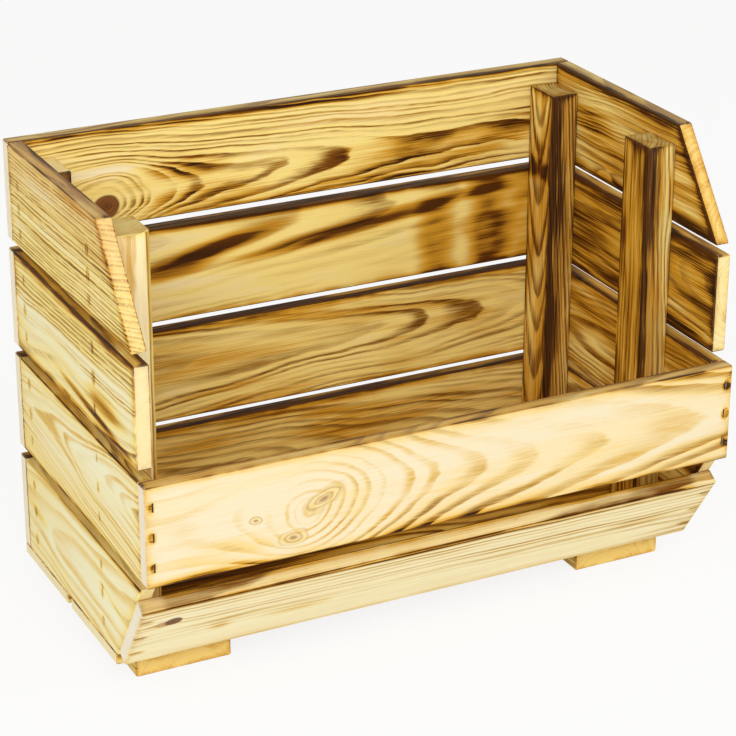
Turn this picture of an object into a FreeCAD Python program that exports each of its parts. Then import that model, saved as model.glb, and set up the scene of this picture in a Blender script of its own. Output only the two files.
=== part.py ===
import FreeCAD, Part
import math
import os

# A stacking crate of softwood boards, stapled to four posts inside its corners.
# Millimetres, +X to the right, +Y to the back, +Z up, origin on the ground under the middle.

# The crate as a whole
crate_width = 400.0
crate_depth = 222.0

# The boards of the walls, in courses one above the other
board_height = 65.0
board_thickness = 10.0
board_gap = 6.5
course_names = ("bottom", "lower", "upper", "top")
arris = 0.8                 # every sawn edge is broken by this much

# The slanted front ends of the top and the bottom slats
slant_nose = 2.0            # from the square front ends back to where a slant starts
mouth_run = 49.0            # how far the top slats lean back over their height
toe_run = 43.0              # how far the bottom slats lean back over their height

# The toe board on the slanted ends of the bottom slats, measured along the slant
toe_top_margin = 11.0
toe_bottom_margin = 5.0

# The posts
post_width = 20.0
post_depth = 30.0
post_drop = 13.5            # from the rim down to the post's top, so that skids above clear it
post_setback = 1.0          # from the slanted ends back to the front posts
post_wane = 5.0             # one post is wider by this, and keeps its natural edge there

# The floor under the walls, and the skids that carry it
floor_board_names = ("front", "rear")
floor_thickness = 8.0
floor_gap = 6.5
floor_setback = 2.0         # from the slanted ends back to the floor
skid_height = 12.0
skid_width = 63.0
skid_inset = 2.5            # inside the walls, so that skids drop inside the rim of a crate below

# The wire staples
staple_crown = 6.0
staple_wire = 1.2
staple_recess = 0.3         # how deep a crown is driven below the face
staple_bite = 13.0          # how far the legs reach into the second piece
wall_staple_shares = (-0.3, 0.0, 0.3)       # places over the joined height, from its middle
back_staple_shares = (-0.15, 0.15)          # between those, so that the legs pass each other
foot_staple_shares = (-0.25, 0.25)          # places over a post's depth, from its middle
sill_staple_shares = {"front": (-0.4, 0.8), "rear": (-0.8, 0.4)}    # the same, beside the post
skid_staple_shares = (0.25, 0.75)           # places from a skid's inner edge to the posts
skid_bite_share = 0.7                       # how much of a skid's height the legs reach into
cut_overrun = 1.0

# Faces that several pieces share
front_face = -crate_depth / 2
back_face = crate_depth / 2
slat_front = front_face + board_thickness
slat_back = back_face - board_thickness
outer_half = crate_width / 2
inner_half = outer_half - board_thickness
floor_top = skid_height + floor_thickness
course_pitch = board_height + board_gap
course_bottoms = [floor_top + i * course_pitch for i in range(len(course_names))]
rim = course_bottoms[-1] + board_height
slant_start = slat_front + slant_nose
floor_front = slant_start + toe_run + floor_setback
wall_leg = board_thickness + staple_bite
floor_leg = floor_thickness + staple_bite
skid_leg = floor_thickness + skid_height * skid_bite_share

# Where the posts stand
post_top = rim - post_drop
post_middle_x = inner_half - post_width / 2
front_post_front = slant_start + max(mouth_run, toe_run) + post_setback
front_post_middle = front_post_front + post_depth / 2
rear_post_middle = slat_back - post_depth / 2
post_rows = {"front": front_post_middle, "rear": rear_post_middle}
side_signs = {"left": -1, "right": 1}

# Where the skids lie
skid_outer = inner_half - skid_inset
skid_inner = skid_outer - skid_width

# The slant of the toe board, in the plane of Y and Z
toe_length = math.hypot(toe_run, board_height)
toe_down = FreeCAD.Vector(0, toe_run / toe_length, -board_height / toe_length)
toe_inward = FreeCAD.Vector(0, board_height / toe_length, toe_run / toe_length)
toe_corner = FreeCAD.Vector(0, slant_start, course_bottoms[0] + board_height)
toe_width = toe_length - toe_top_margin - toe_bottom_margin

ALONG_X = FreeCAD.Vector(1, 0, 0)
ALONG_Y = FreeCAD.Vector(0, 1, 0)
ALONG_Z = FreeCAD.Vector(0, 0, 1)

wood = {}
staples = {}
pockets = {}


def sawn(outline, along):
    """A piece of timber: an outline drawn along a vector, with its sawn edges broken."""
    face = Part.Face(Part.makePolygon(outline + outline[:1]))
    timber = face.extrude(along)
    return timber.makeChamfer(arris, timber.Edges)


def beam(x_span, y_span, z_span):
    """A square-cut piece between two values on each axis."""
    x0, x1 = x_span
    y0, y1 = y_span
    z0, z1 = z_span
    outline = [FreeCAD.Vector(x0, y, z) for y, z in ((y0, z0), (y1, z0), (y1, z1), (y0, z1))]
    return sawn(outline, ALONG_X * (x1 - x0))


def side_slat(sign, course):
    """A slat of one side wall, with the front end that its course has."""
    low = course_bottoms[course]
    high = low + board_height
    front_low = slat_front
    front_high = slat_front
    if course_names[course] == "top":
        front_low = slant_start
        front_high = slant_start + mouth_run
    if course_names[course] == "bottom":
        front_low = slant_start + toe_run
        front_high = slant_start
    profile = ((front_low, low), (slat_back, low), (slat_back, high), (front_high, high))
    outline = [FreeCAD.Vector(sign * inner_half, y, z) for y, z in profile]
    return sawn(outline, ALONG_X * sign * board_thickness)


def toe_board():
    """The slanted board at the foot of the front, on the slanted ends of the bottom slats."""
    top_inner = toe_corner + toe_down * toe_top_margin - ALONG_X * outer_half
    bottom_inner = top_inner + toe_down * toe_width
    outward = toe_inward * -board_thickness
    outline = [top_inner, bottom_inner, bottom_inner + outward, top_inner + outward]
    return sawn(outline, ALONG_X * crate_width)


def post(sign, row):
    """An upright batten inside a corner."""
    x_span = sorted((sign * inner_half, sign * (inner_half - post_width)))
    y_span = (post_rows[row] - post_depth / 2, post_rows[row] + post_depth / 2)
    return beam(x_span, y_span, (floor_top, post_top))


def waney_post(sign, row):
    """A post that is cut wider, and keeps its natural edge towards the mouth of the crate."""
    front = post_rows[row] - post_depth / 2
    back = post_rows[row] + post_depth / 2
    wall = sign * inner_half
    edge = sign * (inner_half - post_width)
    inside = edge - sign * post_wane
    corners = ((wall, front), (wall, back), (inside, back), (inside, front + post_wane), (edge, front))
    outline = [FreeCAD.Vector(x, y, floor_top) for x, y in corners]
    return sawn(outline, ALONG_Z * (post_top - floor_top))


def staple_shape(place, crown_way, leg_way, leg, crown_top):
    """A bent wire whose crown lies at crown_top, measured from the face into the wood."""
    half = staple_crown / 2
    inner = half - staple_wire
    crown_under = staple_recess + staple_wire
    profile = ((-half, crown_top), (half, crown_top), (half, leg), (inner, leg),
               (inner, crown_under), (-inner, crown_under), (-inner, leg), (-half, leg))
    across = crown_way.cross(leg_way) * staple_wire
    outline = [place + crown_way * u + leg_way * v - across / 2 for u, v in profile]
    return Part.Face(Part.makePolygon(outline + outline[:1])).extrude(across)


def staple(group, place, crown_way, leg_way, leg, joined):
    """Drive a staple into a face, and note the pocket that it takes in the joined pieces."""
    wire = staple_shape(place, crown_way, leg_way, leg, staple_recess)
    pocket = staple_shape(place, crown_way, leg_way, leg, -cut_overrun)
    staples.setdefault(group, []).append(wire)
    for name in joined:
        pockets.setdefault(name, []).append(pocket)


# Side walls and back wall, course by course, stapled where a board lies against its posts
for course, course_name in enumerate(course_names):
    low = course_bottoms[course]
    high = low + board_height
    held_height = min(high, post_top) - low
    middle = low + held_height / 2
    back_name = "back_board_" + course_name
    wood[back_name] = beam((-outer_half, outer_half), (slat_back, back_face), (low, high))
    for side, sign in side_signs.items():
        slat_name = side + "_slat_" + course_name
        wood[slat_name] = side_slat(sign, course)
        for row, row_middle in post_rows.items():
            for share in wall_staple_shares:
                place = FreeCAD.Vector(sign * outer_half, row_middle, middle + share * held_height)
                joined = (slat_name, "post_" + row + "_" + side)
                staple("staples_" + side, place, ALONG_Z, ALONG_X * -sign, wall_leg, joined)
        for share in back_staple_shares:
            place = FreeCAD.Vector(sign * post_middle_x, back_face, middle + share * held_height)
            joined = (back_name, "post_rear_" + side)
            staple("staples_back", place, ALONG_Z, -ALONG_Y, wall_leg, joined)

# Front board, on the square ends of the lower slats
lower = course_names.index("lower")
front_low = course_bottoms[lower]
front_high = front_low + board_height
wood["front_board"] = beam((-outer_half, outer_half), (front_face, slat_front), (front_low, front_high))
for side, sign in side_signs.items():
    for share in wall_staple_shares:
        height = (front_low + front_high) / 2 + share * board_height
        place = FreeCAD.Vector(sign * (outer_half - board_thickness / 2), front_face, height)
        staple("staples_front", place, ALONG_Z, ALONG_Y, wall_leg, ("front_board", side + "_slat_lower"))

# Toe board
wood["toe_board"] = toe_board()
toe_middle = toe_corner + toe_down * (toe_top_margin + toe_width / 2) - toe_inward * board_thickness
for side, sign in side_signs.items():
    for share in wall_staple_shares:
        place = toe_middle + toe_down * share * toe_width
        place += ALONG_X * sign * (outer_half - board_thickness / 2)
        staple("staples_toe", place, ALONG_X, toe_inward, wall_leg, ("toe_board", side + "_slat_bottom"))

# Posts
for row in post_rows:
    for side, sign in side_signs.items():
        shape = waney_post if (row, side) == ("front", "left") else post
        wood["post_" + row + "_" + side] = shape(sign, row)

# Floor boards from front to back, across the whole width
floor_gaps = (len(floor_board_names) - 1) * floor_gap
floor_width = (back_face - floor_front - floor_gaps) / len(floor_board_names)
floor_spans = {}
for i, name in enumerate(floor_board_names):
    start = floor_front + i * (floor_width + floor_gap)
    floor_spans["floor_board_" + name] = (start, start + floor_width)
for name, y_span in floor_spans.items():
    wood[name] = beam((-outer_half, outer_half), y_span, (skid_height, floor_top))


def floor_board_at(y):
    """The floor board that lies at a place from front to back."""
    return [name for name, (start, end) in floor_spans.items() if start < y < end]


# Staples from below, through the floor into the feet of the posts and the bottom slats
for row, row_middle in post_rows.items():
    for side, sign in side_signs.items():
        for share in foot_staple_shares:
            place = FreeCAD.Vector(sign * post_middle_x, row_middle + share * post_depth, skid_height)
            joined = floor_board_at(place.y) + ["post_" + row + "_" + side]
            staple("staples_feet", place, ALONG_X, ALONG_Z, floor_leg, joined)
        for share in sill_staple_shares[row]:
            y = row_middle + share * post_depth
            place = FreeCAD.Vector(sign * (outer_half - board_thickness / 2), y, skid_height)
            joined = floor_board_at(y) + [side + "_slat_bottom"]
            staple("staples_sill", place, ALONG_X, ALONG_Z, floor_leg, joined)

# Skids, stapled from above through the floor
skid_span = (floor_front, slat_back - skid_inset)
post_inner = inner_half - post_width - post_wane
for side, sign in side_signs.items():
    skid_name = "skid_" + side
    wood[skid_name] = beam(sorted((sign * skid_inner, sign * skid_outer)), skid_span, (0, skid_height))
    for name, y_span in floor_spans.items():
        for share in skid_staple_shares:
            x = sign * (skid_inner + share * (post_inner - skid_inner))
            place = FreeCAD.Vector(x, sum(y_span) / 2, floor_top)
            staple("staples_skids", place, ALONG_X, -ALONG_Z, skid_leg, (name, skid_name))

# Cut the pockets and write every piece
os.makedirs("parts", exist_ok=True)
for name, piece in wood.items():
    pierced = piece.cut(Part.makeCompound(pockets[name]))
    pierced.exportStep("parts/" + name + ".step")
for name, group in staples.items():
    Part.makeCompound(group).exportStep("parts/" + name + ".step")
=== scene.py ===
# %% [markdown]
# A small open crate of flame-scorched softwood.
# The boards come from the CAD model as they are, staple pockets included, so the frame is loaded first.

# %% Load the crate
import bpy
import math
from mathutils import Matrix, Vector


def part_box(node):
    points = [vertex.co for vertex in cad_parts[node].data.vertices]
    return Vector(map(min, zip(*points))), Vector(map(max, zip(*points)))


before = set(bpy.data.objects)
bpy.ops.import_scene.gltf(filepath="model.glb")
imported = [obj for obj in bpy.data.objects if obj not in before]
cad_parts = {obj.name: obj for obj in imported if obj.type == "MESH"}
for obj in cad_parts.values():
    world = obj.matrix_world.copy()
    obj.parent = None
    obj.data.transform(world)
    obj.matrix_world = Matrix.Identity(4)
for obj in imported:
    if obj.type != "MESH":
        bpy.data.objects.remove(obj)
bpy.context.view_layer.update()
bpy.ops.object.select_all(action="DESELECT")
print("nodes in the frame:", len(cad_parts))

# %% [markdown]
# The camera stands in front of the crate, to its left and above it, and looks through a long lens.
# The place could be found by trial, but here it was fitted to the crate's corners in the photograph.
# The lens is a focal length in pixels of the square picture, and Blender wants it in millimetres.

# %% Camera
picture_size_px = 736
focal_length_px = 2497.679
sensor_width_mm = 36
camera_place_m = Vector((-0.653398, -1.305049, 0.784359))
turn_deg = 26.5018
tip_deg = 23.5011
roll_deg = 0.0993


def camera_axes(turn, tip, roll):
    """The camera's right, up and backward directions, for angles in radians."""
    ahead = Vector((math.sin(turn) * math.cos(tip), math.cos(turn) * math.cos(tip), -math.sin(tip)))
    level = Vector((math.cos(turn), -math.sin(turn), 0))
    upright = level.cross(ahead)
    right = math.cos(roll) * level + math.sin(roll) * upright
    up = math.cos(roll) * upright - math.sin(roll) * level
    return right, up, -ahead


camera_data = bpy.data.cameras.new("long_lens")
camera_data.sensor_width = sensor_width_mm
camera_data.lens = focal_length_px / picture_size_px * sensor_width_mm
camera = bpy.data.objects.new("camera", camera_data)
bpy.context.scene.collection.objects.link(camera)
facing = Matrix(camera_axes(math.radians(turn_deg), math.radians(tip_deg), math.radians(roll_deg)))
camera.matrix_world = Matrix.Translation(camera_place_m) @ facing.transposed().to_4x4()
bpy.context.scene.camera = camera
print("lens in millimetres:", round(camera_data.lens, 2))

# %% [markdown]
# Shader maths reads best as plain Python.
# Each node could be added and wired by hand, but a wood grain needs a hundred of them.
# So one small class holds a socket, and its operators add the Math nodes.
# Every other kind of node comes from its method `node`.

# %% Shader maths
half_share = 0.5


class Strand:
    """One socket in a material's nodes, on which Python's operators do shader maths."""

    def __init__(self, tree, socket=None):
        self.tree = tree
        self.socket = socket

    def node(self, kind, settings, sockets, output=0):
        """Adds one node: its settings first, then the values or links of its sockets."""
        made = self.tree.nodes.new(kind)
        for name, value in settings.items():
            setattr(made, name, value)
        for key, value in sockets.items():
            if isinstance(value, Strand):
                self.tree.links.new(value.socket, made.inputs[key])
            else:
                made.inputs[key].default_value = value
        return Strand(self.tree, made.outputs[output] if made.outputs else None)

    def maths(self, operation, *values):
        return self.node("ShaderNodeMath", {"operation": operation}, dict(enumerate(values)))

    def __add__(self, other):
        return self.maths("ADD", self, other)

    def __sub__(self, other):
        return self.maths("SUBTRACT", self, other)

    def __rsub__(self, other):
        return self.maths("SUBTRACT", other, self)

    def __mul__(self, other):
        return self.maths("MULTIPLY", self, other)

    def __truediv__(self, other):
        return self.maths("DIVIDE", self, other)

    def __abs__(self):
        return self.maths("ABSOLUTE", self)

    __radd__ = __add__
    __rmul__ = __mul__

    def least(self, other):
        return self.maths("MINIMUM", self, other)

    def most(self, other):
        return self.maths("MAXIMUM", self, other)

    def root(self):
        return self.maths("SQRT", self)

    def fade(self):
        """1 where the strand is zero, falling softly to 0 where it is large."""
        return self.maths("EXPONENT", 0 - self)

    def held(self):
        return self.node("ShaderNodeClamp", {}, {"Value": self})

    def as_share(self):
        """The range from -1 to 1 as a share from 0 to 1."""
        return self * half_share + half_share

    def rise(self, start, end):
        """A soft step from 0 at start to 1 at end; a start above the end makes it fall."""
        ends = {"Value": self, "From Min": start, "From Max": end}
        return self.node("ShaderNodeMapRange", {"interpolation_type": "SMOOTHSTEP"}, ends)

    def vectors(self, operation, first, second):
        """Vector Math, whose answer is a number for a dot product and a vector otherwise."""
        output = "Value" if operation == "DOT_PRODUCT" else "Vector"
        sockets = {0: first, 1: second}
        return self.node("ShaderNodeVectorMath", {"operation": operation}, sockets, output)


print("shader maths is ready:", Strand.__doc__)

# %% [markdown]
# Colours are written as they are read off a screen, from 0 to 255, while Blender works in linear light.
# They could be converted by hand, but a helper keeps the familiar numbers in the script.
# Two more helpers lay one colour over another and start a material with no nodes in it.

# %% Colours and materials
under_socket = 6
over_socket = 7
colour_output = 2
screen_steps = 255
dark_limit_share = 0.04045
dark_divisor = 12.92
bright_offset_share = 0.055
bright_divisor = 1.055
bright_power = 2.4


def linear_light(share):
    """One channel of a screen colour, from 0 to 1, in linear light."""
    if share <= dark_limit_share:
        return share / dark_divisor
    return ((share + bright_offset_share) / bright_divisor) ** bright_power


def paint(red, green, blue):
    """A screen colour from 0 to 255 in Blender's linear light."""
    return (*[linear_light(channel / screen_steps) for channel in (red, green, blue)], 1)


def cover(under, over, share):
    """Lays one colour over another, as far as the strand of shares says."""
    sockets = {"Factor": share, under_socket: under, over_socket: over}
    return share.node("ShaderNodeMix", {"data_type": "RGBA"}, sockets, colour_output)


def new_material(name):
    """An empty material, and the strand from which its nodes grow."""
    material = bpy.data.materials.new(name)
    material.use_nodes = True
    material.node_tree.nodes.clear()
    return material, Strand(material.node_tree)


print("golden wood in linear light:", [round(channel, 3) for channel in paint(222, 170, 88)])

# %% [markdown]
# The crate stands on a plain white sweep, as in a studio.
# The floor could be left to the lamps, but then it would turn grey with distance.
# So rays from the camera see it partly as a white of strength 1, and the rest keeps the soft shadow.
# Rays off a gloss or through glass see the same white, so the wire mirrors a white room.

# %% Floor
floor_size_m = 8
floor_paint = paint(244, 243, 240)
floor_glow_share = 0.85
white_paint = paint(255, 255, 255)
white_strength = 1


def seen_share(start):
    """1 for rays that show the studio: from the camera, off a gloss or through glass."""
    names = ("Is Camera Ray", "Is Glossy Ray", "Is Transmission Ray")
    rays = [start.node("ShaderNodeLightPath", {}, {}, name) for name in names]
    camera_ray, glossy_ray, glass_ray = rays
    return camera_ray.most(glossy_ray).most(glass_ray)


bpy.ops.mesh.primitive_plane_add(size=floor_size_m)
floor = bpy.context.object
floor.name = "studio_floor"
floor_material, floor_start = new_material("studio_white")
glow_share = seen_share(floor_start) * floor_glow_share
white_board = floor_start.node("ShaderNodeBsdfDiffuse", {}, {"Color": floor_paint})
glow_sockets = {"Color": white_paint, "Strength": white_strength}
white_glow = floor_start.node("ShaderNodeEmission", {}, glow_sockets)
floor_mix = floor_start.node("ShaderNodeMixShader", {}, {0: glow_share, 1: white_board, 2: white_glow})
floor_start.node("ShaderNodeOutputMaterial", {}, {"Surface": floor_mix})
floor.data.materials.append(floor_material)
print("floor in metres:", floor_size_m)

# %% [markdown]
# The light is soft and comes from all round, a little stronger from the front and the left.
# One hard lamp would throw dark shadows into the crate, which the photograph doesn't have.
# So the sky does most of the work, and two large area lamps shape the boards.

# %% Light
sky_strength = 0.56
key_power_w = 33
fill_power_w = 13
lamp_size_m = 1.6
key_place_m = Vector((-1.3, -1.9, 1.5))
fill_place_m = Vector((1.6, -1.5, 1.3))
crate_middle_m = Vector((0, 0, 0.12))

world = bpy.data.worlds.new("studio")
world.use_nodes = True
world.node_tree.nodes.clear()
world_start = Strand(world.node_tree)


def even_sky(strength):
    """A white sky, equally bright all over."""
    return world_start.node("ShaderNodeBackground", {}, {"Color": white_paint, "Strength": strength})


soft_sky = even_sky(sky_strength)
white_sky = even_sky(white_strength)
sky_share = seen_share(world_start)
sky_mix = world_start.node("ShaderNodeMixShader", {}, {0: sky_share, 1: soft_sky, 2: white_sky})
world_start.node("ShaderNodeOutputWorld", {}, {"Surface": sky_mix})
bpy.context.scene.world = world


def soft_lamp(name, place, power):
    """A large square lamp that faces the crate."""
    lamp = bpy.data.lights.new(name, "AREA")
    lamp.energy = power
    lamp.size = lamp_size_m
    holder = bpy.data.objects.new(name, lamp)
    holder.location = place
    holder.rotation_euler = (crate_middle_m - place).to_track_quat("-Z", "Y").to_euler()
    bpy.context.scene.collection.objects.link(holder)


soft_lamp("key_lamp", key_place_m, key_power_w)
soft_lamp("fill_lamp", fill_place_m, fill_power_w)
bpy.context.scene.view_settings.view_transform = "Standard"
print("sky and lamps:", sky_strength, key_power_w, fill_power_w)

# %% [markdown]
# Every board is one piece of a tree, so its grain has to run through it and out at its ends.
# A flat picture of grain would break at each edge, so the pattern is worked out in space.
# For that each board has three directions: along its grain, across its face, and out of the crate.

# %% How each board lies
mm_per_m = 1000
x_way = Vector((1, 0, 0))
y_way = Vector((0, 1, 0))
z_way = Vector((0, 0, 1))
board_height_mm = 65
toe_run_mm = 43
toe_up = Vector((0, -toe_run_mm, board_height_mm)).normalized()
toe_out = Vector((0, -board_height_mm, -toe_run_mm)).normalized()
toe_half_mm = (200, 31, 5)
slant_start_mm = -99
slant_runs_mm = {"top": 49, "bottom": -toe_run_mm}


def laid(node, along, across, outward):
    """A board's three directions, its middle in metres and its half sizes in millimetres."""
    low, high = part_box(node)
    ways = (along, across, outward)
    half_mm = [abs((high - low).dot(way)) / 2 * mm_per_m for way in ways]
    return {"ways": ways, "middle_m": (low + high) / 2, "half_mm": half_mm}


def slanted(course):
    """The distance from a slat's slanted front end, as a factor along, one across and a constant."""
    run_mm = slant_runs_mm[course]
    slope_mm = math.hypot(run_mm, board_height_mm)
    along = board_height_mm / slope_mm
    across = -run_mm / slope_mm
    half_height_mm = board_height_mm / 2
    start_side_mm = -half_height_mm if run_mm > 0 else half_height_mm
    return along, across, -slant_start_mm * along - start_side_mm * across


courses = ("bottom", "lower", "upper", "top")
lays = {"front_board": laid("front_board", x_way, z_way, -y_way)}
lays["toe_board"] = {**laid("toe_board", x_way, toe_up, toe_out), "half_mm": toe_half_mm}
for course in courses:
    lays["left_slat_" + course] = laid("left_slat_" + course, y_way, z_way, -x_way)
    lays["right_slat_" + course] = laid("right_slat_" + course, y_way, z_way, x_way)
    lays["back_board_" + course] = laid("back_board_" + course, x_way, z_way, y_way)
for course in slant_runs_mm:
    lays["left_slat_" + course]["slant"] = slanted(course)
    lays["right_slat_" + course]["slant"] = slanted(course)
for end in ("front", "rear"):
    lays["post_" + end + "_left"] = laid("post_" + end + "_left", z_way, y_way, -x_way)
    lays["post_" + end + "_right"] = laid("post_" + end + "_right", z_way, y_way, x_way)
    lays["floor_board_" + end] = laid("floor_board_" + end, x_way, y_way, -z_way)
for hand in ("left", "right"):
    lays["skid_" + hand] = laid("skid_" + hand, y_way, x_way, -z_way)


def count_boards(*starts):
    """How many boards have a name that begins in one of these ways."""
    return len([name for name in lays if name.startswith(starts)])


print("boards with a grain direction:", len(lays))

# %% [markdown]
# A board shows its tree's rings as lines, and how they run tells where in the log it was cut.
# Noise alone would look like marble, so the pattern starts as the distance from the tree's heart.
# The heart leans against the board, which turns the lines into the pointed arches of a flat-sawn face.
# Slow and quick noise makes the lines wander, and a knot lifts them as a hill lifts the lines on a map.

# %% Growth rings
slow_wave_mm = (110, 34, 34)
quick_wave_mm = (30, 9, 9)
fine_jag_mm = (7, 1.3, 1.3)
fine_jag_height_mm = 0.3
calm_wave_mm = (120, 14, 14)
dash_wave_mm = (15, 1.1, 1.1)
wide_years = 2.8
strong_years = 1.7
knot_tip_mm = 1.2
noise_middle = 0.5
# A seed moves the noise by these steps, and each kind of noise adds its own number to the seed.
noise_shifts = (1, 1.7, 0.6)
noise_steps = {
    "patches": 3,
    "streaks": 5,
    "edges": 7,
    "gold": 9,
    "fibre": 11,
    "pores": 13,
    "calm": 15,
    "own": 17,
    "brush": 19,
    "dash": 21,
}
years_per_seed = 3.1
oval_ragged_share = 1.3
# A pair of shares, here and in the next cells, is where a soft step starts and where it is full.
oval_fade_shares = (1.2, 0.15)
line_full_share = 0.65
line_late_share = 0.3
line_end_shares = (1.0, 0.86)
shade_start_shares = (0.05, 0.9)
shade_end_shares = (1.0, 0.93)
strong_ring_gain = 2.2
weak_ring_share = 0.3
calm_gain = 5
calm_level_share = 0.8
dash_gain = 4


def noise(point, grain_mm, seed, detail=1):
    """Smooth noise about zero, with lumps of the given size along, across and through a board."""
    sizes = [1 / size for size in grain_mm]
    shifts = [seed * shift for shift in noise_shifts]
    shifted = point.vectors("ADD", point.vectors("MULTIPLY", point, sizes), shifts)
    texture = {"Vector": shifted, "Scale": 1, "Detail": detail}
    return point.node("ShaderNodeTexNoise", {"noise_dimensions": "3D"}, texture) - noise_middle


def board_spots(start, lay):
    """Where a point lies in its board, in millimetres from the middle, and which way its face looks."""
    place = start.node("ShaderNodeTexCoord", {}, {}, "Object")
    look = start.node("ShaderNodeTexCoord", {}, {}, "Normal")
    from_middle = start.vectors("SUBTRACT", place, lay["middle_m"])
    in_mm = start.vectors("MULTIPLY", from_middle, (mm_per_m, mm_per_m, mm_per_m))
    spots = [start.vectors("DOT_PRODUCT", in_mm, way) for way in lay["ways"]]
    looks = [start.vectors("DOT_PRODUCT", look, way) for way in lay["ways"]]
    return spots, looks


def knot_distance(spots, knot, wobble):
    """The distance from a knot's middle, drawn out along the grain."""
    along_leg = (spots[0] - knot["at_mm"][0]) / knot["stretch"]
    across_leg = spots[1] - knot["at_mm"][1] - (spots[0] - knot["at_mm"][0]) * knot["slope"]
    across_leg = across_leg + wobble * knot["wobble_mm"]
    return (along_leg * along_leg + across_leg * across_leg + knot_tip_mm * knot_tip_mm).root()


def oval(spots, mark, wobble):
    """A soft oval, ragged by noise, from its middle, half length, half width, slope and share."""
    along_mm, across_mm, half_length_mm, half_width_mm, slope, share = mark
    along = (spots[0] - along_mm) / half_length_mm
    across = (spots[1] - spots[0] * slope - (across_mm - along_mm * slope)) / half_width_mm
    distance = (along * along + across * across).root() + wobble * oval_ragged_share
    return distance.rise(*oval_fade_shares) * share


def ring_noise(rings, years, seed):
    """A share that changes slowly from ring to ring, as good and bad years do."""
    sockets = {"W": rings / years + seed * years_per_seed, "Scale": 1, "Detail": 1}
    return rings.node("ShaderNodeTexNoise", {"noise_dimensions": "1D"}, sockets)


def ring_lines(spots, point, wood, lay):
    """Late wood from 0 to 1, its shade, a share of each ring's own, and the knots' distances."""
    along, across, outward = spots
    slow = noise(point, slow_wave_mm, wood["seed"])
    quick = noise(point, quick_wave_mm, wood["seed"])
    fine = noise(point, fine_jag_mm, wood["seed"])
    heart_across = across - wood["heart_mm"][0]
    heart_outward = outward - wood["heart_mm"][1]
    field = (heart_across * heart_across + heart_outward * heart_outward).root()
    field = field + along * wood["lean_share"] + slow * wood["wave_mm"] + quick * wood["ripple_mm"]
    field = field + fine * fine_jag_height_mm
    knots = [knot_distance(spots, knot, quick) for knot in wood["knots"]]
    for knot, distance in zip(wood["knots"], knots):
        field = field + (distance / knot["spread_mm"]).fade() * knot["hill_mm"]
    for along_mm, across_mm, spread_mm, hill_mm in wood["swells"]:
        off_along = along - along_mm
        off_across = across - across_mm
        distance = (off_along * off_along + off_across * off_across).root()
        field = field + (distance / spread_mm).fade() * hill_mm
    rings = field / wood["ring_mm"]
    uneven = ring_noise(rings, wide_years, wood["seed"]) - noise_middle
    rings = rings + uneven * wood["uneven_rings"]
    own = ring_noise(rings, strong_years, wood["seed"] + noise_steps["own"])
    part = rings.maths("FRACT", rings)
    calm = noise(point, calm_wave_mm, wood["seed"] + noise_steps["calm"])
    calm = calm * wood["fade_share"] * calm_gain + calm_level_share
    left, right = wood["ramp_shares"]
    start = (along / lay["half_mm"][0]).as_share() * (right - left) + left
    lines = part.rise(start, line_full_share + start * line_late_share) * part.rise(*line_end_shares)
    lines = lines * (own * strong_ring_gain - weak_ring_share).held() * calm.held()
    dash = noise(point, dash_wave_mm, wood["seed"] + noise_steps["dash"])
    dash = dash * wood["dash_share"] * dash_gain + 1
    lines = lines * dash.held()
    for bare in wood["bare"]:
        lines = lines * (1 - oval(spots, bare, slow))
    shade = part.rise(*shade_start_shares) * part.rise(*shade_end_shares)
    return lines, shade, own, knots


print("ring noise in millimetres:", slow_wave_mm, quick_wave_mm, fine_jag_mm)

# %% [markdown]
# The maker ran a flame over the boards, more inside than outside, and most along the edges.
# A second colour over the whole board would look painted, because a flame bites the late wood first.
# So scorch is a map of its own, built from faces, edges and soft patches, and the colours read it.
# On the front floor board and on the toe board's rim, part of this map is painted shadow.

# %% Scorch, with a little painted shadow
patch_wave_mm = (90, 18, 18)
streak_wave_mm = (160, 5, 5)
edge_wave_mm = (24, 24, 24)
edge_reach_mm = 3
# How softly a rim's painted shadow gives way to its unshaded ends, in millimetres.
unshaded_rim_blend_mm = 7
brush_wave_mm = (46, 0.8, 0.8)
rough_detail = 2
# A patch lies on one of two sides, and a look is 1 where a face is turned straight that way.
outside = 1
inside = -1
outside_looks = (0.3, 0.7)
inside_looks = (-0.3, -0.7)
patch_looks = (0.2, 0.6)
rim_looks = (0.62, 0.72)
end_looks = (0.68, 0.76)
stain_ragged_share = 1.4
stain_fade_shares = (1.2, 0.5)
stain_core_shares = (0.75, 0.45)
stain_fade_part = 0.55
stain_core_part = 0.45
rim_inward_share = 0.7
rim_level_share = 0.55
uneven_level_share = 0.25
edge_ragged_share = 2.2
edge_level_share = 0.8


def edge_nearness(spots, lay):
    """1 on a board's edges, falling to 0 a few millimetres away from them."""
    gaps = [half - abs(spot) for spot, half in zip(spots, lay["half_mm"])]
    if "slant" in lay:
        along, across, constant = lay["slant"]
        gaps[0] = gaps[0].least(spots[0] * along + spots[1] * across + constant)
    low = gaps[0].least(gaps[1])
    high = gaps[0].most(gaps[1])
    return (low.most(high.least(gaps[2])) / edge_reach_mm).most(0).fade()


def patch_mask(spots, looks, patch, wobble):
    """An oval scorch mark on one face, with a ragged outline."""
    side, *mark = patch
    return oval(spots, mark, wobble) * (looks[2] * side).rise(*patch_looks)


def nearest(spot, places_mm):
    """The distance to the nearest of some places along a line."""
    distance = abs(spot - places_mm[0])
    for place_mm in places_mm[1:]:
        distance = distance.least(abs(spot - place_mm))
    return distance


def staple_stain(spots, looks, wood, wobble):
    """Dark torn wood round the staples, which sit in rows and columns."""
    along_mm, across_mm = wood["stain_reach_mm"]
    row = nearest(spots[1], wood["staple_rows_mm"]) / across_mm
    column = nearest(spots[0], wood["staple_columns_mm"]) / along_mm
    distance = (row * row + column * column).root() + wobble * stain_ragged_share
    stain = distance.rise(*stain_fade_shares) * stain_fade_part
    stain = stain + distance.rise(*stain_core_shares) * stain_core_part
    return stain * looks[2].rise(*outside_looks)


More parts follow.
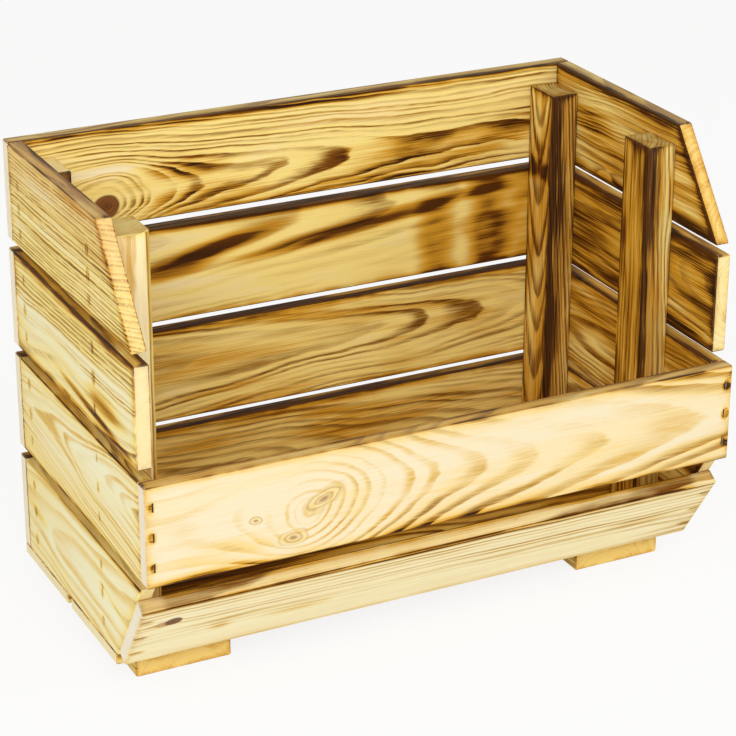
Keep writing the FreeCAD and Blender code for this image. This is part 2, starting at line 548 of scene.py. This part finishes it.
def scorch_and_shade_map(spots, looks, point, wood, lay, shade, own):
    """How strongly each point is scorched, from 0 to 1, together with the painted shadow that a few
    patches and rims carry.
    """
    patches = noise(point, patch_wave_mm, wood["seed"] + noise_steps["patches"], rough_detail)
    streaks = noise(point, streak_wave_mm, wood["seed"] + noise_steps["streaks"])
    ragged = noise(point, edge_wave_mm, wood["seed"] + noise_steps["edges"], rough_detail)
    faces = looks[2].rise(*outside_looks) * wood["outside_share"]
    faces = faces + looks[2].rise(*inside_looks) * wood["inside_share"]
    half_thickness_mm = lay["half_mm"][2]
    inward = spots[2].rise(half_thickness_mm, -half_thickness_mm)
    rims = abs(looks[1]).rise(*rim_looks) * (inward * rim_inward_share + rim_level_share)
    rims = rims * wood["rim_share"]
    # Where a board keeps unshaded rim ends, the rim's darkening between them is partly painted shadow,
    # which stops short of the lit ends.
    if wood["pale_ends_mm"]:
        from_end = lay["half_mm"][0] - abs(spots[0])
        rims = rims * from_end.rise(wood["pale_ends_mm"] - unshaded_rim_blend_mm, wood["pale_ends_mm"])
    faces = faces + rims
    faces = faces + abs(looks[0]).rise(*end_looks) * wood["end_share"]
    uneven = patches * wood["blotch_share"] + (own - noise_middle) * wood["ring_burn_share"]
    scorch = faces + uneven * (faces + uneven_level_share) + streaks * wood["streak_share"]
    edges = edge_nearness(spots, lay) * (ragged * edge_ragged_share + edge_level_share).held()
    scorch = scorch + edges * wood["edge_share"]
    biting = shade * wood["bite_share"] + (1 - wood["bite_share"])
    for patch in wood["patches"]:
        scorch = scorch + patch_mask(spots, looks, patch, patches) * biting
    if wood["staple_columns_mm"]:
        scorch = scorch + staple_stain(spots, looks, wood, ragged) * wood["stain_share"]
    brush = noise(point, brush_wave_mm, wood["seed"] + noise_steps["brush"])
    return (scorch + scorch * brush * wood["brush_share"]).held()


print("scorched edges reach in by millimetres:", edge_reach_mm)

# %% [markdown]
# A board has only a few colours: pale early wood, golden late wood, and what the flame makes of them.
# They could be mixed by one ramp, but early and late wood scorch at a different rate.
# So each has its own row of colours, and the strongest scorch ends in char for both.

# %% Wood colours
early_paint = paint(254, 242, 204)
early_gold_paint = paint(252, 221, 136)
early_toasted_paint = paint(255, 230, 140)
early_golden_paint = paint(220, 163, 46)
early_brown_paint = paint(126, 70, 5)
late_paint = paint(222, 171, 66)
late_brown_paint = paint(116, 65, 4)
char_paint = paint(42, 21, 3)
end_paint = paint(240, 218, 166)
white_end_paint = paint(252, 246, 230)
blush_paint = paint(216, 150, 100)
grey_paint = paint(170, 150, 112)
dead_knot_paints = (paint(126, 66, 24), paint(58, 30, 10))
sound_knot_paints = (paint(242, 214, 140), paint(150, 94, 20))
gold_wave_mm = (220, 30, 30)
fibre_wave_mm = (34, 0.42, 0.42)
pore_wave_mm = (8, 0.45, 0.45)
gold_gain = 1.6
toasted_shares = (0.02, 0.35)
golden_shares = (0.32, 0.68)
brown_shares = (0.62, 0.95)
late_brown_shares = (0.0, 0.55)
late_char_shares = (0.62, 1.0)
char_shares = (0.8, 1.0)
char_line_share = 0.3
char_level_share = 0.6
blush_rows_mm = (-6, 32)
knot_edge_shares = (1.12, 0.85)
knot_rim_share = 0.82
knot_eye_share = 0.25
pore_shares = (0.22, 0.34)
fibre_grain_share = 0.6
pore_grain_share = 0.5
line_height_share = 0.5
fibre_height_share = 0.6
pore_depth_share = 0.3
bump_strength = 0.45
bump_height_m = 0.0004
wood_roughness = 0.66
line_polish_share = 0.1
scorch_rough_share = 0.08
fibre_rough_share = 0.12
wood_specular = 0.12


def wood_colour(spots, looks, point, wood, lines, scorch):
    """The board's colour from its rings and its scorch, which on a few boards also carries painted
    shadow.
    """
    gold = noise(point, gold_wave_mm, wood["seed"] + noise_steps["gold"])
    gold = (gold * gold_gain + wood["gold_share"]).held()
    early = cover(wood["pale_paint"], early_gold_paint, gold)
    if wood["halo_share"]:
        early = cover(early, early_gold_paint, (lines * wood["halo_share"]).held())
    early = cover(early, wood["toasted_paint"], scorch.rise(*toasted_shares))
    early = cover(early, early_golden_paint, scorch.rise(*golden_shares))
    early = cover(early, early_brown_paint, scorch.rise(*brown_shares))
    late = cover(wood["late_paint"], late_brown_paint, scorch.rise(*late_brown_shares))
    late = cover(late, char_paint, scorch.rise(*late_char_shares))
    colour = cover(early, late, (lines * wood["contrast_share"]).held())
    ends = abs(looks[0]).rise(*end_looks)
    colour = cover(colour, wood["end_paint"], ends * wood["end_cover_share"])
    if wood["blush_share"]:
        colour = cover(colour, blush_paint, spots[1].rise(*blush_rows_mm) * wood["blush_share"])
    rims = abs(looks[1]).rise(*rim_looks)
    colour = cover(colour, grey_paint, rims * wood["grey_share"])
    char = scorch.rise(*char_shares) * (lines * char_line_share + char_level_share)
    return cover(colour, char_paint, char)


def knot_colour(colour, wood, knots):
    """Draws each knot with its own rings, a dark rim and a dark eye."""
    for knot, distance in zip(wood["knots"], knots):
        radius_mm = knot["radius_mm"]
        core = distance.rise(*[radius_mm * share for share in knot_edge_shares])
        wave = distance.maths("SINE", distance * (math.tau / knot["ring_mm"])).as_share()
        rings = wave * wave * wave
        rim = core * distance.rise(radius_mm * knot_rim_share, radius_mm)
        eye = distance.rise(knot_tip_mm + radius_mm * knot_eye_share, knot_tip_mm) * knot["eye_share"]
        dark = (rings * knot["ring_share"] + rim * knot["rim_share"] + eye).held()
        inner = cover(*knot["paints"], dark)
        colour = cover(colour, inner, core * knot["dark_share"])
    return colour


def board_material(name, lay, wood):
    """The whole finish of one board."""
    material, start = new_material(name + "_wood")
    spots, looks = board_spots(start, lay)
    point = start.node("ShaderNodeCombineXYZ", {}, dict(enumerate(spots)))
    lines, shade, own, knots = ring_lines(spots, point, wood, lay)
    lines = lines * (1 - abs(looks[0]).rise(*end_looks) * wood["end_calm_share"])
    fibre = noise(point, fibre_wave_mm, wood["seed"] + noise_steps["fibre"])
    pores = noise(point, pore_wave_mm, wood["seed"] + noise_steps["pores"]).rise(*pore_shares)
    scorch = scorch_and_shade_map(spots, looks, point, wood, lay, shade, own)
    grain = (lines + fibre * fibre_grain_share + pores * pore_grain_share).held()
    colour = wood_colour(spots, looks, point, wood, grain, scorch)
    colour = knot_colour(colour, wood, knots)
    height = lines * line_height_share + fibre * fibre_height_share - pores * pore_depth_share
    bump_sockets = {"Strength": bump_strength, "Distance": bump_height_m, "Height": height}
    bump = start.node("ShaderNodeBump", {}, bump_sockets, "Normal")
    rough = wood_roughness - lines * line_polish_share + scorch * scorch_rough_share
    rough = (rough + fibre * fibre_rough_share).held()
    sockets = {
        "Base Color": colour,
        "Roughness": rough,
        "Normal": bump,
        "Specular IOR Level": wood_specular,
    }
    shader = start.node("ShaderNodeBsdfPrincipled", {}, sockets)
    start.node("ShaderNodeOutputMaterial", {}, {"Surface": shader})
    return material


plain_board = {
    "pale_paint": early_paint,
    "late_paint": late_paint,
    "toasted_paint": early_toasted_paint,
    "end_paint": end_paint,
    "lean_share": 0.05,
    "ring_mm": 2.7,
    "wave_mm": 9,
    "ripple_mm": 1.8,
    # Where the late wood starts in a ring, at one end of the board and at the other.
    "ramp_shares": (0.25, 0.25),
    "contrast_share": 1.0,
    "outside_share": 0.12,
    "inside_share": 0.3,
    "rim_share": 0.62,
    "pale_ends_mm": 0,
    "end_share": 0.2,
    "end_cover_share": 0.45,
    "edge_share": 0.6,
    "blotch_share": 1.1,
    "ring_burn_share": 0.5,
    "streak_share": 0.3,
    "gold_share": 0.25,
    "halo_share": 0,
    "grey_share": 0.1,
    "stain_share": 0.4,
    "staple_columns_mm": (),
    "staple_rows_mm": (-19.5, 0, 19.5),
    "stain_reach_mm": (3.4, 5.2),
    "uneven_rings": 1.6,
    "fade_share": 0.6,
    "dash_share": 0.6,
    "end_calm_share": 0.6,
    "blush_share": 0,
    "bite_share": 0.65,
    "brush_share": 0.9,
    "knots": (),
    "swells": (),
    "patches": (),
    "bare": (),
}
white_ends = {"end_paint": white_end_paint, "end_cover_share": 0.66, "end_share": 0.03}
dead_knot = {
    "paints": dead_knot_paints,
    "stretch": 1.7,
    "slope": 0,
    "wobble_mm": 3,
    "ring_mm": 2.2,
    "eye_share": 0.6,
    "ring_share": 0.5,
    "rim_share": 0.8,
    "dark_share": 0.95,
}
sound_knot = {
    **dead_knot,
    "paints": sound_knot_paints,
    "wobble_mm": 9,
    "ring_mm": 2.6,
    "eye_share": 1.0,
    "ring_share": 0.6,
    "rim_share": 0.45,
    "dark_share": 0.7,
}


def finish_board(name, seed, heart_mm, **own):
    """Gives one CAD board its own wood, which differs from the plain board where it says so."""
    wood = {**plain_board, "seed": seed, "heart_mm": heart_mm, **own}
    material = board_material(name, lays[name], wood)
    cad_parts[name].data.materials.clear()
    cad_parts[name].data.materials.append(material)


print("char in linear light:", [round(channel, 3) for channel in char_paint])

# %% [markdown]
# The front board is flat-sawn and shows most of its tree.
# It has two large branch knots and a small one on the left, and arches after them.
# Knots laid over straight lines would look stuck on, so each one also bends the lines round it.
# The board was turned to the flame along its lower edge and at its right end.

# %% Front board
front_knots = (
    {
        **sound_knot,
        "at_mm": (-87, 2),
        "radius_mm": 7.6,
        "spread_mm": 11,
        "hill_mm": -10,
        "stretch": 1.9,
        "slope": 0.36,
    },
    {
        **sound_knot,
        "at_mm": (-107, -19),
        "radius_mm": 5.6,
        "spread_mm": 8,
        "hill_mm": -8,
        "stretch": 1.8,
    },
    {
        **sound_knot,
        "at_mm": (-131, -3),
        "radius_mm": 3.4,
        "spread_mm": 3,
        "hill_mm": -3,
        "stretch": 1.4,
    },
)
# A swell is given by its middle along and across, its spread and its height, in millimetres.
front_swells = ((-96, -6, 40, -60),)
# A patch is given by its side, its middle along and across, its half length and half width
# in millimetres, its slope and its share. A bare place is given the same way, without a side.
front_patches = (
    (outside, -20, -34, 90, 7, 0, 0.7),
    (outside, -160, -34, 60, 7, 0, 0.9),
    (outside, -150, -20, 44, 10, 0, 0.36),
    (outside, 120, -38, 110, 14, 0, 0.5),
    (outside, 190, 24, 90, 10, -0.03, 0.52),
    (outside, 190, -20, 80, 9, 0.05, 0.52),
    (outside, -66, -6, 24, 32, 0, 0.2),
    (outside, -26, -22, 46, 18, 0.5, 0.3),
    (outside, 20, -18, 54, 16, 0.4, 0.28),
    (outside, 92, -14, 70, 14, 0.3, 0.28),
)
front_bare = (
    (-190, 0, 90, 110, 0, 0.55),
    (-127, 0, 54, 74, 0, 0.97),
    (70, 15, 190, 27, 0, 0.85),
)
finish_board(
    "front_board",
    seed=1,
    pale_paint=paint(242, 228, 194),
    late_paint=paint(202, 144, 34),
    toasted_paint=paint(244, 214, 142),
    heart_mm=(2, -18),
    lean_share=0.15,
    ring_mm=8,
    wave_mm=7,
    ripple_mm=3.2,
    ramp_shares=(0.6, 0.15),
    rim_share=0.48,
    grey_share=0.3,
    outside_share=0.05,
    gold_share=-0.05,
    contrast_share=0.85,
    halo_share=1.5,
    blotch_share=0.6,
    staple_columns_mm=(-196, 196),
    stain_share=0.58,
    knots=front_knots,
    swells=front_swells,
    patches=front_patches,
    bare=front_bare,
    **white_ends,
)
print("knots in the front board:", len(front_knots))

# %% [markdown]
# The toe board is the palest of all: fine straight lines above, and almost bare wood below.
# One oval knot sits near its left end, in wood that is darker beside it.
# A single oval would end too sharply there, so a lighter one is laid first and a dark one over it.

# %% Toe board
toe_knot_paints = (paint(136, 92, 62), paint(50, 34, 26))
toe_halo_paints = (paint(206, 164, 116), paint(170, 122, 78))
toe_knots = (
    {
        **dead_knot,
        "paints": toe_halo_paints,
        "at_mm": (-182.5, 12.2),
        "radius_mm": 3.6,
        "spread_mm": 4,
        "hill_mm": 0,
        "dark_share": 0.75,
    },
    {
        **dead_knot,
        "paints": toe_knot_paints,
        "at_mm": (-176.8, 13.3),
        "radius_mm": 4.2,
        "spread_mm": 4,
        "hill_mm": -6,
        "stretch": 1.4,
    },
)
toe_patches = (
    (outside, 0, 32, 240, 7, 0, 0.5),
    (outside, -25, 32, 110, 6, 0, 0.55),
    (outside, -184, 12, 12, 3, 0, 0.6),
    (outside, -88, -6, 30, 6, 0, 0.5),
    (outside, 153, 0, 30, 6, 0, 0.5),
    (outside, -143, -6, 10, 6, 0, 0.5),
)
finish_board(
    "toe_board",
    seed=2,
    pale_paint=paint(255, 245, 204),
    halo_share=0.7,
    late_paint=paint(204, 160, 72),
    toasted_paint=paint(246, 222, 158),
    heart_mm=(-16, -6),
    lean_share=0.012,
    ring_mm=4.2,
    dash_share=0.25,
    wave_mm=5,
    outside_share=0.06,
    gold_share=-0.3,
    blotch_share=0.4,
    fade_share=0.5,
    contrast_share=1.2,
    edge_share=0.5,
    rim_share=0.33,
    grey_share=0,
    # The rim's darkening between these ends is partly scorch and partly painted shadow of the front
    # board.
    pale_ends_mm=19,
    staple_columns_mm=(-195, 195),
    staple_rows_mm=(-18.6, 0, 18.6),
    stain_reach_mm=(6, 2.6),
    knots=toe_knots,
    patches=toe_patches,
    bare=((0, -18, 330, 26, 0, 0.9), (-186, -2, 44, 50, 0, 0.8)),
    **white_ends,
)
print("ovals that make the toe board's knot:", len(toe_knots))

# %% [markdown]
# The left wall shows its outside: close straight lines on the top slat, and flat-sawn wood below.
# One wood for all four would repeat the same lines.
# Each slat comes from another part of the log, so each has its own heart and lean.

# %% Left wall
side_pale_paint = paint(254, 249, 210)
side_late_paint = paint(232, 186, 78)
side_columns_mm = (-35, 85)
top_rows_mm = (-22.2, -6.75, 8.7)
left_slat = {"pale_paint": side_pale_paint, "staple_columns_mm": side_columns_mm}
upper_patches = (
    (outside, -52, -12, 34, 10, 0, 0.62),
    (outside, -40, -24, 84, 3.6, 0.098, 0.85),
    (outside, 30, -33, 150, 6, 0, 0.55),
    (outside, 0, 34, 160, 7, 0, 0.9),
    (outside, 0, 20, 160, 14, 0, 0.25),
)
bottom_patches = (
    (outside, -36, 5, 6, 2.5, 0.2, 0.9),
    (outside, -58, 0, 30, 3, 0.22, 0.45),
    (outside, 80, 2, 26, 6, 0.2, 0.45),
    (outside, -80, 33, 44, 5, 0, 0.6),
    (outside, 0, 33, 130, 4, 0, 0.3),
)
finish_board(
    "left_slat_top",
    **left_slat,
    seed=3,
    heart_mm=(-120, 30),
    lean_share=0.02,
    ring_mm=2.4,
    wave_mm=5,
    ripple_mm=1.2,
    uneven_rings=1.4,
    dash_share=1.0,
    outside_share=0.27,
    gold_share=0.35,
    rim_share=0.6,
    streak_share=0.5,
    grey_share=0.4,
    blush_share=0.25,
    end_paint=paint(246, 206, 138),
    edge_share=0.4,
    end_calm_share=0.2,
    fade_share=0.3,
    contrast_share=1.4,
    staple_rows_mm=top_rows_mm,
)
finish_board(
    "left_slat_upper",
    **left_slat,
    seed=4,
    heart_mm=(-30, -20),
    lean_share=0.03,
    ring_mm=3.1,
    outside_share=0.16,
    gold_share=0,
    contrast_share=1.1,
    dash_share=0.9,
    bare=((20, -6, 130, 10, 0.057, 0.9),),
    end_paint=paint(240, 222, 176),
    end_cover_share=0.7,
    end_calm_share=0.9,
    bite_share=0.2,
    patches=upper_patches,
)
finish_board(
    "left_slat_lower",
    **left_slat,
    seed=5,
    late_paint=side_late_paint,
    heart_mm=(8, -14),
    lean_share=0.09,
    ring_mm=3.1,
    outside_share=0.1,
    gold_share=0.4,
    halo_share=0.9,
    contrast_share=0.9,
    rim_share=0.5,
    bite_share=0.35,
    patches=((outside, 20, -35, 130, 7, 0, 0.7), (outside, 0, 34, 130, 4, 0, 0.4)),
)
finish_board(
    "left_slat_bottom",
    **left_slat,
    seed=6,
    late_paint=side_late_paint,
    heart_mm=(2, -30),
    ring_mm=4.2,
    outside_share=0.06,
    contrast_share=0.5,
    halo_share=0.9,
    gold_share=0.15,
    rim_share=0.34,
    bite_share=0.4,
    edge_share=0.25,
    patches=bottom_patches,
)
print("left slats finished:", count_boards("left_slat"))

# %% [markdown]
# The right wall and the back show their insides, which took most of the flame.
# Their lines are dark brown on gold, and the edges are nearly black.
# Darker paints would dull the pale wood between the marks, so the paints stay and the scorch grows.

# %% Right wall and back
golden_end_paint = paint(236, 182, 92)
back_columns_mm = (-180, 180)
back_rows_mm = (-9.75, 9.75)
back_top_rows_mm = (-14.5, 1)
back_board = {"staple_columns_mm": back_columns_mm, **white_ends}
back_knots = (
    {
        **dead_knot,
        "at_mm": (-137, -19),
        "radius_mm": 8,
        "stretch": 1.1,
        "spread_mm": 24,
        "hill_mm": -26,
    },
)
back_top_patches = (
    (inside, -82, -1, 36, 10, 0, 0.65),
    (inside, -70, -22, 60, 10, 0, 0.6),
    (inside, 70, -10, 80, 12, 0.05, 0.68),
    (inside, 150, -8, 50, 12, 0.1, 0.68),
    (inside, 60, -26, 130, 8, 0.05, 0.5),
    (inside, 0, 33, 240, 7, 0, 0.8),
)
back_upper_patches = (
    (inside, -70, 10, 70, 9, 0.2, 0.8),
    (inside, 40, 11, 105, 8, 0.11, 0.8),
    (inside, 99, -10, 20, 44, 0, 0.5),
    (inside, 139, -14, 19, 56, 0, 0.64),
    (inside, 172, -4, 26, 70, 0, 0.42),
    (inside, 0, 34, 260, 6, 0, 0.9),
)
right_top_patches = (
    (inside, 0, 33, 140, 7, 0, 0.8),
    (inside, 50, 2, 30, 14, 0, 0.4),
    (inside, -30, -31, 80, 9, 0, 0.8),
)
finish_board(
    "right_slat_top",
    seed=7,
    heart_mm=(-28, 14),
    lean_share=0.03,
    inside_share=0.5,
    edge_share=0.9,
    rim_share=0.45,
    grey_share=0.5,
    end_paint=golden_end_paint,
    staple_columns_mm=side_columns_mm,
    staple_rows_mm=top_rows_mm,
    patches=right_top_patches,
)
finish_board(
    "right_slat_upper",
    seed=8,
    heart_mm=(8, 20),
    lean_share=0.06,
    ring_mm=3.4,
    inside_share=0.75,
    staple_columns_mm=side_columns_mm,
)
finish_board(
    "right_slat_lower",
    seed=9,
    heart_mm=(-4, 18),
    ring_mm=3,
    inside_share=0.6,
    staple_columns_mm=side_columns_mm,
)
finish_board(
    "right_slat_bottom",
    seed=10,
    heart_mm=(12, 20),
    lean_share=0.04,
    inside_share=0.5,
    staple_columns_mm=side_columns_mm,
)
finish_board(
    "back_board_top",
    **back_board,
    seed=11,
    heart_mm=(-12, 20),
    lean_share=0.025,
    knots=back_knots,
    rim_share=0.45,
    contrast_share=1.2,
    grey_share=0.5,
    staple_rows_mm=back_top_rows_mm,
    patches=back_top_patches,
)
finish_board(
    "back_board_upper",
    **back_board,
    seed=12,
    heart_mm=(27, 22),
    lean_share=0.08,
    ring_mm=5.5,
    inside_share=0.28,
    rim_share=0.85,
    grey_share=0.35,
    contrast_share=0.8,
    staple_rows_mm=back_rows_mm,
    patches=back_upper_patches,
    bite_share=0.12,
    brush_share=0.3,
    streak_share=0.15,
    bare=((-40, -14, 170, 26, 0, 0.8), (140, -8, 90, 70, 0, 0.95)),
)
finish_board(
    "back_board_lower",
    **back_board,
    seed=13,
    heart_mm=(6, 20),
    ring_mm=3.2,
    rim_share=0.9,
    inside_share=0.4,
    staple_rows_mm=back_rows_mm,
)
finish_board(
    "back_board_bottom",
    **back_board,
    seed=14,
    heart_mm=(-8, 22),
    lean_share=0.06,
    ring_mm=3.4,
    rim_share=0.9,
    inside_share=0.45,
    staple_rows_mm=back_rows_mm,
)
print("inner boards finished:", count_boards("right_slat", "back_board"))

# %% [markdown]
# The posts, the floor and the skids are plainer stock, sawn across the rings or along them as it fell.
# They could share one wood, but each has its own seed and heart, so no two show the same lines.
# The front floor board also carries a painted shadow where it shows under the front board.

# %% Posts, floor and skids
floor_end_paint = paint(252, 240, 196)
floor_board = {**white_ends, "end_paint": floor_end_paint, "edge_share": 0.12}
right_post = {"end_paint": paint(150, 116, 62), "end_share": 0.4, "end_calm_share": 0.1}
skid = {
    "lean_share": 0.03,
    "rim_share": 0.3,
    "gold_share": 1,
    "end_calm_share": 0.75,
    "end_paint": paint(238, 192, 104),
}
finish_board(
    "post_front_left",
    seed=15,
    heart_mm=(60, 10),
    lean_share=0.01,
    ring_mm=2.2,
    wave_mm=3,
    rim_share=0.06,
    grey_share=0,
    edge_share=0.3,
    end_paint=paint(172, 142, 86),
    end_share=0.35,
)
finish_board(
    "post_front_right",
    **right_post,
    seed=16,
    heart_mm=(20, -30),
    lean_share=0.02,
    ring_mm=2.4,
    rim_share=0.6,
    inside_share=0.7,
)
finish_board(
    "post_rear_left",
    seed=17,
    heart_mm=(50, 12),
    lean_share=0.02,
    ring_mm=2.4,
    rim_share=0.5,
)
finish_board(
    "post_rear_right",
    **right_post,
    seed=18,
    heart_mm=(0, 25),
    lean_share=-0.06,
    ring_mm=2,
    rim_share=0.72,
    inside_share=0.5,
    wave_mm=2.5,
    ripple_mm=0.6,
    contrast_share=1.5,
    fade_share=0.1,
    patches=((inside, 78, 0, 9, 34, 0, 0.9),),
)
finish_board(
    "floor_board_front",
    **floor_board,
    seed=19,
    heart_mm=(10, 24),
    ring_mm=3.4,
    inside_share=0.66,
    bite_share=0.3,
    # This patch is painted shadow: it darkens the floor's inside where it shows through the gap between
    # the front board and the toe board.
    patches=((inside, -120, 30, 130, 16, 0, 0.7),),
)
finish_board(
    "floor_board_rear",
    **floor_board,
    seed=20,
    heart_mm=(-12, 22),
    lean_share=0.04,
    ring_mm=3.2,
    inside_share=0.55,
)
finish_board(
    "skid_left",
    **skid,
    seed=21,
    heart_mm=(8, 20),
)
finish_board(
    "skid_right",
    **skid,
    seed=22,
    heart_mm=(-8, 20),
)
print("posts, floor boards and skids finished:", count_boards("post", "floor_board", "skid"))

# %% [markdown]
# The staples are plain steel wire, driven a little below the wood, dulled and browned by the flame.
# One even grey would look painted, so brown stains take part of the metal's shine.

# %% Staples
steel_paint = paint(92, 84, 74)
rust_paint = paint(58, 40, 28)
heat_spots_per_m = 420
heat_detail = 3
heat_shares = (0.42, 0.62)
wire_roughness = 0.42
heat_rough_share = 0.3
heat_dull_share = 0.7


def staple_material():
    """Dull wire with brown heat stains."""
    material, start = new_material("scorched_wire")
    place = start.node("ShaderNodeTexCoord", {}, {}, "Object")
    texture = {"Vector": place, "Scale": heat_spots_per_m, "Detail": heat_detail}
    stains = start.node("ShaderNodeTexNoise", {}, texture).rise(*heat_shares)
    colour = cover(steel_paint, rust_paint, stains)
    rough = stains * heat_rough_share + wire_roughness
    metal = 1 - stains * heat_dull_share
    sockets = {"Base Color": colour, "Roughness": rough, "Metallic": metal}
    shader = start.node("ShaderNodeBsdfPrincipled", {}, sockets)
    start.node("ShaderNodeOutputMaterial", {}, {"Surface": shader})
    return material


wire = staple_material()
staple_nodes = [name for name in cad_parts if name.startswith("staples_")]
for name in staple_nodes:
    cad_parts[name].data.materials.clear()
    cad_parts[name].data.materials.append(wire)
print("staple groups finished:", len(staple_nodes))

# %% [markdown]
# The finish changes colours and no shapes, so the crate keeps the frame's size.
